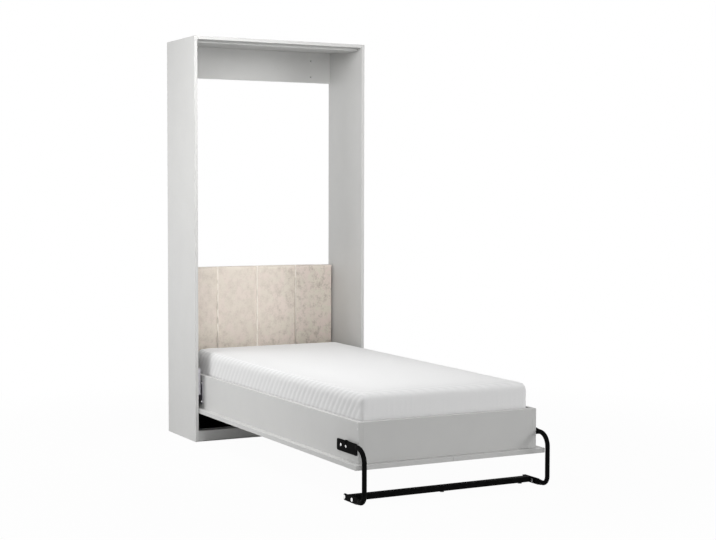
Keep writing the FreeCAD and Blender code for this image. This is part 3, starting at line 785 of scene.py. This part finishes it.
class WALLBED_OT_headboard(bpy.types.Operator):
    """Model the headboard pad: velvet that swells between its sewn lines, and a welt in each line"""

    bl_idname = "wallbed.headboard"
    bl_label = "Make the headboard pad"

    def execute(self, context):
        sizes = settings_of(context).headboard
        inset = Vector((sizes.inset, 0, sizes.inset))
        low = pad_low + inset + Vector((0, sizes.valley, 0))
        high = pad_high - inset
        column = (pad_high.x - pad_low.x) / sizes.columns
        lines = [pad_low.x + place_in_row * column for place_in_row in range(1, sizes.columns)]
        block = self.cushion(low, high, sizes.rim)
        data = remeshed(mesh_from(block, "pad_block"), sizes.voxel)
        points = points_of(data)
        pinned = points[:, 1] > high.y - sizes.voxel
        for line in lines:
            pinned |= (np.abs(points[:, 0] - line) < sizes.pinch) & (points[:, 1] < high.y)
        data = swelled(data, sizes.pressure, sizes.swell, pinned)
        data = refined(data)
        self.pinch(data, sizes, lines)
        data.name = "headboard_velvet"
        piece = new_piece("headboard_velvet", "cabinet", "velvet", data, ["headboard_pad"])
        for place_in_row, line in enumerate(lines, 1):
            self.welt(f"headboard_welt_{place_in_row}", line, sizes)
        return {"FINISHED"}

    def cushion(self, low, high, rim):
        """A slab with its front edges rounded."""
        shape = plain_block(low, high)
        front = [edge for edge in shape.edges if max(vert.co.y for vert in edge.verts) < low.y + rim / 2]
        round_edges(shape, front, rim, 4)
        return shape

    def pinch(self, data, sizes, lines):
        """Pinch the sewn lines, and keep the velvet inside its space."""
        points = points_of(data)
        front = points[:, 1] < pad_low.y + 2 * sizes.valley
        for line in lines:
            near = np.exp(-((points[:, 0] - line) / sizes.pinch) ** 2)
            points[:, 1] += front * near * sizes.valley * sizes.pinch_depth
        set_points(data, np.clip(points, np.array(pad_low), np.array(pad_high)))

    def welt(self, name, line, sizes):
        """A folded welt that runs up one sewn line."""
        shape = bmesh.new()
        bmesh.ops.create_circle(shape, cap_ends=True, segments=10, radius=sizes.welt)
        face = shape.faces[:]
        steps = 24
        rise = (pad_high.z - pad_low.z - 4 * sizes.inset) / steps
        for step in range(steps):
            made = bmesh.ops.extrude_face_region(shape, geom=face)
            new_verts = [item for item in made["geom"] if isinstance(item, bmesh.types.BMVert)]
            face = [item for item in made["geom"] if isinstance(item, bmesh.types.BMFace)]
            bmesh.ops.translate(shape, vec=(0, 0, rise), verts=new_verts)
        start = Vector((line, pad_low.y + sizes.welt * sizes.welt_set, pad_low.z + 2 * sizes.inset))
        bmesh.ops.translate(shape, vec=start, verts=shape.verts)
        new_piece(name, "cabinet", "velvet", mesh_from(shape, name), finish="welt")


class WALLBED_OT_fasteners(bpy.types.Operator):
    """Turn the screws and bolts: a domed head with a hexagon socket in each, and a nut on each bolt"""

    bl_idname = "wallbed.fasteners"
    bl_label = "Make the screws and bolts"

    def execute(self, context):
        sizes = settings_of(context).fastener
        self.fasten("leg_plate_screws", "bed", 1, self.screw, sizes)
        self.fasten("bed_bracket_screws", "bed", 1, self.screw, sizes)
        self.fasten("lift_plate_screws", "cabinet", -1, self.screw, sizes)
        self.fasten("crossbar_bolts", "leg", 1, self.bolt, sizes)
        return {"FINISHED"}

    def head(self, base, radius, height, sizes):
        """Rings of a head that stands on a base."""
        shoulder = base + height * (1 - sizes.dome)
        brow = base + height * (1 - sizes.dome / 3)
        top = base + height
        socket = radius * sizes.socket
        return [(base, radius, False), (shoulder, radius, False),
                (brow, radius * sizes.brow, False), (top, radius * sizes.crown, False),
                (top, socket, True), (top - height * sizes.sink, socket, True)]

    def screw(self, radius, reach, sizes):
        """Rings of a screw's head."""
        return self.head(0, radius, reach, sizes)

    def bolt(self, radius, reach, sizes):
        """Rings of a bolt: its nut, its shank and its head."""
        shoulder = reach - sizes.head
        rings = [(0, sizes.nut, True), (sizes.nut_height, sizes.nut, True),
                 (sizes.nut_height, sizes.shank, False), (shoulder, sizes.shank, False)]
        return rings + self.head(shoulder, radius, sizes.head, sizes)

    def fasten(self, node, body, outward, rings_of, sizes):
        """A group of fasteners, with their heads away from the middle or to it."""
        shape = bmesh.new()
        for low, high in solids_of(node):
            toward = outward if low.x > 0 else -outward
            start = (low + high) / 2
            start.x = low.x if toward > 0 else high.x
            turned(shape, start, toward, rings_of((high.y - low.y) / 2, high.x - low.x, sizes))
        data = mesh_from(shape, node + "_turned", crease)
        new_piece(node + "_turned", body, "zinc_steel", data, [node], "bright_zinc")


class WALLBED_OT_stage(bpy.types.Operator):
    """Set the floor, the soft lamps, the white surroundings and the camera"""

    bl_idname = "wallbed.stage"
    bl_label = "Set the stage"

    def execute(self, context):
        stage = settings_of(context).stage
        self.floor(stage)
        self.world(stage)
        target = (cad_low + cad_high) / 2
        for name in ("front", "right", "back", "left", "top"):
            self.lamp(name, getattr(stage, name), target, getattr(stage, name + "_power"),
                      getattr(stage, name + "_size"))
        self.camera(stage)
        context.scene.view_settings.view_transform = "Standard"
        return {"FINISHED"}

    def seen_rays(self, tree):
        """One for rays that reach the eye straight, by gloss or through glass, else nothing."""
        path = tree.nodes.new("ShaderNodeLightPath")
        seen = math_node(tree, "MAXIMUM", path.outputs["Is Camera Ray"], path.outputs["Is Glossy Ray"])
        return math_node(tree, "MAXIMUM", seen, path.outputs["Is Transmission Ray"])

    def floor(self, stage):
        """A wide pale floor that shows mostly white, keeps the shadow and stays dark inside the cabinet."""
        shape = bmesh.new()
        bmesh.ops.create_grid(shape, x_segments=1, y_segments=1, size=stage.floor)
        data = bpy.data.meshes.new("floor")
        shape.to_mesh(data)
        shape.free()
        floor = bpy.data.objects.new("floor", data)
        bpy.context.scene.collection.objects.link(floor)
        material, tree, shader = new_material("pale_floor")
        shader.inputs["Roughness"].default_value = 0.9
        shader.inputs["Specular IOR Level"].default_value = 0.0
        point = object_point(tree)
        tones = two_tone(tree, noise(tree, point, 0.5), shade(stage.floor_color, 0.99), stage.floor_color)
        tree.links.new(tones, shader.inputs["Base Color"])
        white = tree.nodes.new("ShaderNodeEmission")
        mixed = tree.nodes.new("ShaderNodeMixShader")
        distance = tree.nodes.new("ShaderNodeVectorMath")
        distance.operation = "LENGTH"
        tree.links.new(point, distance.inputs[0])
        fade = remap(tree, distance.outputs["Value"], stage.floor_fade / 2, stage.floor_fade,
                     stage.floor_white, 1.0)
        spot = parted(tree, point)
        aside = math_node(tree, "ABSOLUTE", spot["X"], 0.0)
        beside = math_node(tree, "GREATER_THAN", aside, cad_high.x)
        before = math_node(tree, "LESS_THAN", spot["Y"], stage.cabinet_front)
        behind = math_node(tree, "GREATER_THAN", spot["Y"], cad_high.y)
        outside = math_node(tree, "MAXIMUM", beside, math_node(tree, "MAXIMUM", before, behind))
        shown = math_node(tree, "MULTIPLY", self.seen_rays(tree), fade)
        tree.links.new(math_node(tree, "MULTIPLY", shown, outside), mixed.inputs["Fac"])
        tree.links.new(shader.outputs["BSDF"], mixed.inputs[1])
        tree.links.new(white.outputs["Emission"], mixed.inputs[2])
        tree.links.new(mixed.outputs["Shader"], tree.nodes["Material Output"].inputs["Surface"])
        floor.data.materials.append(material)

    def world(self, stage):
        """White to the eye, and an even light on the object."""
        world = bpy.data.worlds.new("studio")
        bpy.context.scene.world = world
        world.use_nodes = True
        tree = world.node_tree
        tree.nodes.clear()
        output = tree.nodes.new("ShaderNodeOutputWorld")
        background = tree.nodes.new("ShaderNodeBackground")
        strength = remap(tree, self.seen_rays(tree), 0.0, 1.0, stage.ambient, 1.0)
        tree.links.new(strength, background.inputs["Strength"])
        background.inputs["Color"].default_value = (1, 1, 1, 1)
        tree.links.new(background.outputs["Background"], output.inputs["Surface"])

    def lamp(self, name, stand, target, watts, size):
        """A square soft lamp turned to the object."""
        data = bpy.data.lights.new(name, "AREA")
        data.energy = watts
        data.size = size
        lamp = bpy.data.objects.new(name, data)
        lamp.location = stand
        lamp.rotation_mode = "QUATERNION"
        lamp.rotation_quaternion = (target - Vector(stand)).to_track_quat("-Z", "Y")
        bpy.context.scene.collection.objects.link(lamp)

    def camera(self, stage):
        """The photograph's view."""
        data = bpy.data.cameras.new("camera")
        data.lens = stage.lens
        data.sensor_width = stage.sensor
        camera = bpy.data.objects.new("camera", data)
        view = Vector((math.sin(stage.yaw) * math.cos(stage.pitch),
                       math.cos(stage.yaw) * math.cos(stage.pitch), math.sin(stage.pitch)))
        turn = Matrix.Rotation(stage.roll, 4, view) @ view.to_track_quat("-Z", "Y").to_matrix().to_4x4()
        camera.matrix_world = Matrix.Translation(stage.camera) @ turn
        bpy.context.scene.collection.objects.link(camera)
        bpy.context.scene.camera = camera


class WallBedSettings(bpy.types.PropertyGroup):
    """Everything that a user would change."""

    finish: group(FinishSettings, "Finishes", "Colours and gloss")
    mattress: group(MattressSettings, "Mattress", "Mattress sizes")
    headboard: group(HeadboardSettings, "Headboard", "Pad sizes")
    fastener: group(FastenerSettings, "Fasteners", "Head sizes")
    stage: group(StageSettings, "Stage", "Camera, lamps and floor")


class WALLBED_PT_panel(bpy.types.Panel):
    """Lists the wall bed's operators"""

    bl_label = "Wall bed"
    bl_idname = "WALLBED_PT_panel"
    bl_space_type = "VIEW_3D"
    bl_region_type = "UI"
    bl_category = "Wall bed"

    def draw(self, context):
        for operator in operators:
            self.layout.operator(operator.bl_idname)


operators = (
    WALLBED_OT_finishes,
    WALLBED_OT_mattress,
    WALLBED_OT_headboard,
    WALLBED_OT_fasteners,
    WALLBED_OT_stage,
)

classes = (
    FinishSettings,
    MattressSettings,
    HeadboardSettings,
    FastenerSettings,
    StageSettings,
    WallBedSettings,
    *operators,
    WALLBED_PT_panel,
)


def register():
    for item in classes:
        bpy.utils.register_class(item)
    bpy.types.Scene.wall_bed = group(WallBedSettings, "Wall bed", "Settings of the wall bed")


def unregister():
    del bpy.types.Scene.wall_bed
    for item in reversed(classes):
        bpy.utils.unregister_class(item)


def main():
    register()
    bpy.ops.wallbed.finishes()
    bpy.ops.wallbed.mattress()
    bpy.ops.wallbed.headboard()
    bpy.ops.wallbed.fasteners()
    bpy.ops.wallbed.stage()


if __name__ == "__main__":
    main()
